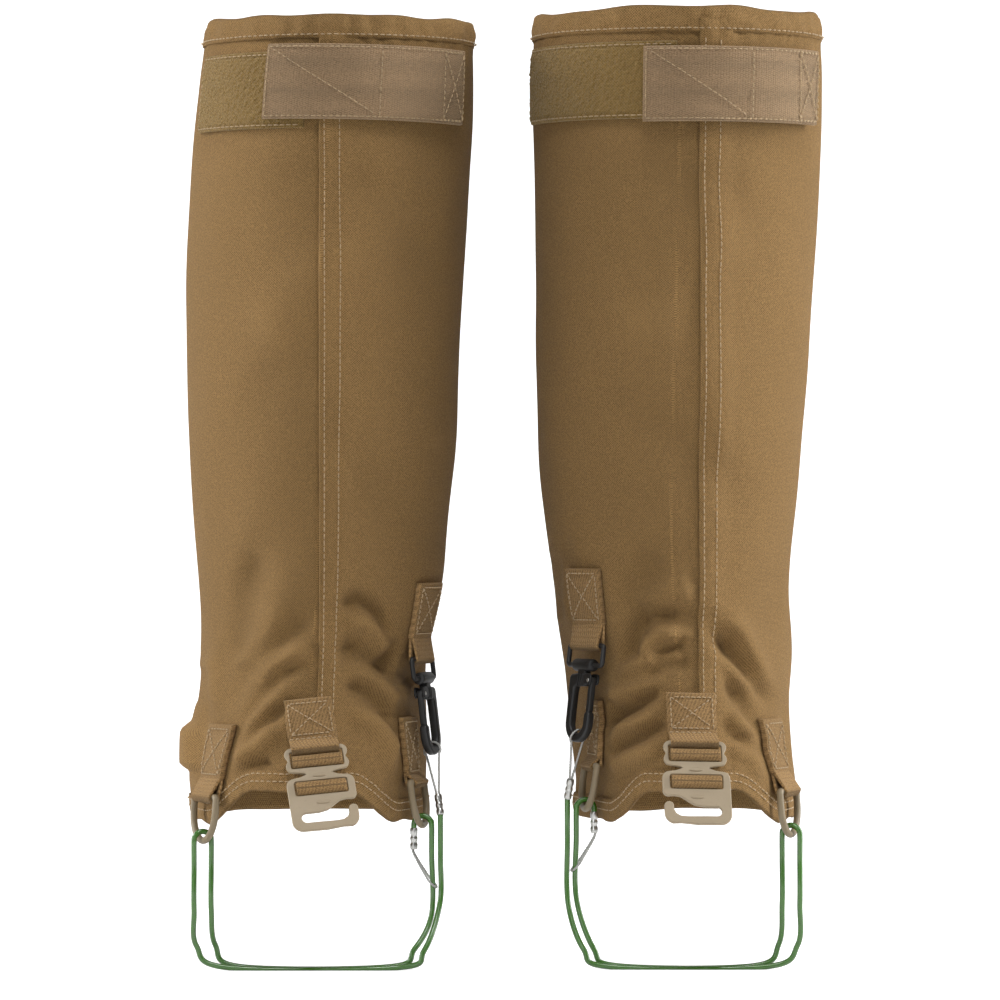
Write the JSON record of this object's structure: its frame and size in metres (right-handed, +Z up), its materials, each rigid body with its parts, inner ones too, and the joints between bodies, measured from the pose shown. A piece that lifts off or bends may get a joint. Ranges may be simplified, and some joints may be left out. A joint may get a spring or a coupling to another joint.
{
  "type": "gaiters",
  "caption": "Pair of knee-high canvas leg gaiters with elastic calf straps, lace hooks, D-rings and a clip-on cable stirrup under each boot.",
  "frame": {"origin": "middle of the pair's outline seen from above, level with the lowest point of the stirrup cables", "axes": "+Z up the leg, the fronts of both gaiters face -Y, and the wearer's left gaiter is on the +X side"},
  "size_m": [0.3191, 0.1919, 0.4732],
  "materials": {
    "canvas": "coated canvas weave",
    "webbing": "woven nylon webbing",
    "elastic": "ribbed elastic",
    "pile": "loop pile",
    "hook_tape": "hook tape",
    "painted_plate": "matte tan paint",
    "painted_wire": "matte tan paint",
    "black_plastic": "satin moulded",
    "black_wire": "black coating",
    "steel": "plain",
    "steel_wire": "twisted wire",
    "cable_coat": "clear green coat"
  },
  "bodies": {
    "right_gaiter": {"right_outer_panel": "canvas", "right_inner_panel": "canvas", "right_front_flap": "canvas", "right_flap_hook_tape": "hook_tape", "right_flap_loop_tape": "pile", "right_top_hem": "canvas", "right_hem_elastic": "elastic", "right_bottom_hem": "canvas", "right_pile_patch": "pile", "right_instep_tab": "webbing", "right_snap_tab": "webbing", "right_lateral_tab": "webbing", "right_medial_tab": "webbing"},
    "right_calf_strap": {"right_calf_strap": "elastic"},
    "right_lace_hook": {"right_lace_hook": "painted_plate", "right_hook_webbing": "webbing"},
    "right_snap_loop": {"right_snap_loop": "black_wire"},
    "right_snap_hook": {"right_snap_body": "black_plastic", "right_gate_pin": "steel"},
    "right_snap_gate": {"right_snap_gate": "black_plastic"},
    "right_cable_end": {"right_eye_a": "steel_wire", "right_ferrule_a": "steel"},
    "right_lateral_ring": {"right_lateral_ring": "painted_wire"},
    "right_medial_ring": {"right_medial_ring": "painted_wire"},
    "right_stirrup": {"right_stirrup_cable": "cable_coat", "right_ferrule_b": "steel", "right_eye_b": "steel_wire"},
    "left_gaiter": {"left_outer_panel": "canvas", "left_inner_panel": "canvas", "left_front_flap": "canvas", "left_flap_hook_tape": "hook_tape", "left_flap_loop_tape": "pile", "left_top_hem": "canvas", "left_hem_elastic": "elastic", "left_bottom_hem": "canvas", "left_pile_patch": "pile", "left_instep_tab": "webbing", "left_snap_tab": "webbing", "left_lateral_tab": "webbing", "left_medial_tab": "webbing"},
    "left_calf_strap": {"left_calf_strap": "elastic"},
    "left_lace_hook": {"left_lace_hook": "painted_plate", "left_hook_webbing": "webbing"},
    "left_snap_loop": {"left_snap_loop": "black_wire"},
    "left_snap_hook": {"left_snap_body": "black_plastic", "left_gate_pin": "steel"},
    "left_snap_gate": {"left_snap_gate": "black_plastic"},
    "left_cable_end": {"left_eye_a": "steel_wire", "left_ferrule_a": "steel"},
    "left_lateral_ring": {"left_lateral_ring": "painted_wire"},
    "left_medial_ring": {"left_medial_ring": "painted_wire"},
    "left_stirrup": {"left_stirrup_cable": "cable_coat", "left_ferrule_b": "steel", "left_eye_b": "steel_wire"}
  },
  "joints": [
    {"name": "pair_spread", "type": "slide", "parent": "right_gaiter", "child": "left_gaiter", "axis": [1, 0, 0], "range_m": [0, 0.15]},
    {"name": "right_strap_peel", "type": "hinge", "parent": "right_gaiter", "child": "right_calf_strap", "pos_m": [-0.01736, -0.01486, 0.4345], "axis": [0, 0, 1], "range_deg": [0, 110]},
    {"name": "right_lace_hook_swing", "type": "hinge", "parent": "right_gaiter", "child": "right_lace_hook", "pos_m": [-0.0897, -0.07316, 0.1105], "axis": [-0.9805, -0.1733, -0.093], "range_deg": [-1, 80]},
    {"name": "right_snap_loop_swing", "type": "hinge", "parent": "right_gaiter", "child": "right_snap_loop", "pos_m": [-0.03874, -0.00972, 0.1525], "axis": [-0.3237, -0.9462, 0], "range_deg": [-2.5, 2.5]},
    {"name": "right_snap_hook_swing", "type": "hinge", "parent": "right_snap_loop", "child": "right_snap_hook", "pos_m": [-0.03761, -0.01011, 0.14277], "axis": [-0.3237, -0.9462, 0], "range_deg": [-2.5, 4]},
    {"name": "right_cable_end_swing", "type": "hinge", "parent": "right_snap_hook", "child": "right_cable_end", "pos_m": [-0.03345, -0.01153, 0.10704], "axis": [-0.3237, -0.9462, 0], "range_deg": [-4, 4]},
    {"name": "right_gate_open", "type": "hinge", "parent": "right_snap_hook", "child": "right_snap_gate", "pos_m": [-0.03927, -0.01778, 0.13533], "axis": [0.9391, -0.3213, 0.1219], "range_deg": [0, 22], "stiffness_Nm_per_rad": 0.02},
    {"name": "right_lateral_ring_swing", "type": "hinge", "parent": "right_gaiter", "child": "right_lateral_ring", "pos_m": [-0.14409, -0.04381, 0.0859], "axis": [-0.4023, 0.9155, 0], "range_deg": [-3, 3]},
    {"name": "right_medial_ring_swing", "type": "hinge", "parent": "right_gaiter", "child": "right_medial_ring", "pos_m": [-0.04107, -0.01784, 0.092], "axis": [-0.2156, -0.9765, 0], "range_deg": [-3, 3]},
    {"name": "right_stirrup_swing", "type": "hinge", "parent": "right_gaiter", "child": "right_stirrup", "pos_m": [-0.03813, -0.01849, 0.07061], "axis": [0.9705, 0.2344, 0.0566], "range_deg": [-12, 12]},
    {"name": "left_strap_peel", "type": "hinge", "parent": "left_gaiter", "child": "left_calf_strap", "pos_m": [0.15786, -0.01302, 0.4345], "axis": [0, 0, 1], "range_deg": [0, 110]},
    {"name": "left_lace_hook_swing", "type": "hinge", "parent": "left_gaiter", "child": "left_lace_hook", "pos_m": [0.09417, -0.07172, 0.113], "axis": [-0.9924, -0.1206, 0.0233], "range_deg": [-1, 80]},
    {"name": "left_snap_loop_swing", "type": "hinge", "parent": "left_gaiter", "child": "left_snap_loop", "pos_m": [0.04294, -0.02613, 0.1595], "axis": [-0.5377, 0.8431, 0], "range_deg": [-2.5, 2.5]},
    {"name": "left_snap_hook_swing", "type": "hinge", "parent": "left_snap_loop", "child": "left_snap_hook", "pos_m": [0.04194, -0.02677, 0.14977], "axis": [-0.5377, 0.8431, 0], "range_deg": [-2.5, 4]},
    {"name": "left_cable_end_swing", "type": "hinge", "parent": "left_snap_hook", "child": "left_cable_end", "pos_m": [0.03824, -0.02913, 0.11404], "axis": [-0.5377, 0.8431, 0], "range_deg": [-4, 4]},
    {"name": "left_gate_open", "type": "hinge", "parent": "left_snap_hook", "child": "left_snap_gate", "pos_m": [0.04536, -0.03384, 0.14233], "axis": [0.8368, 0.5337, -0.1219], "range_deg": [0, 22], "stiffness_Nm_per_rad": 0.02},
    {"name": "left_lateral_ring_swing", "type": "hinge", "parent": "left_gaiter", "child": "left_lateral_ring", "pos_m": [0.14142, -0.03436, 0.0884], "axis": [-0.3198, -0.9475, 0], "range_deg": [-3, 3]},
    {"name": "left_medial_ring_swing", "type": "hinge", "parent": "left_gaiter", "child": "left_medial_ring", "pos_m": [0.04505, -0.0161, 0.1], "axis": [-0.1888, 0.982, 0], "range_deg": [-3, 3]},
    {"name": "left_stirrup_swing", "type": "hinge", "parent": "left_gaiter", "child": "left_stirrup", "pos_m": [0.04209, -0.01666, 0.07861], "axis": [0.9777, -0.1764, -0.1141], "range_deg": [-12, 12]}
  ],
  "couplings": [
    {"joint": "right_snap_loop_swing", "follows": "right_snap_hook_swing", "ratio": -0.5},
    {"joint": "right_cable_end_swing", "follows": "right_snap_hook_swing", "ratio": -0.9137},
    {"joint": "left_snap_loop_swing", "follows": "left_snap_hook_swing", "ratio": -0.5},
    {"joint": "left_cable_end_swing", "follows": "left_snap_hook_swing", "ratio": -0.9273}
  ]
}
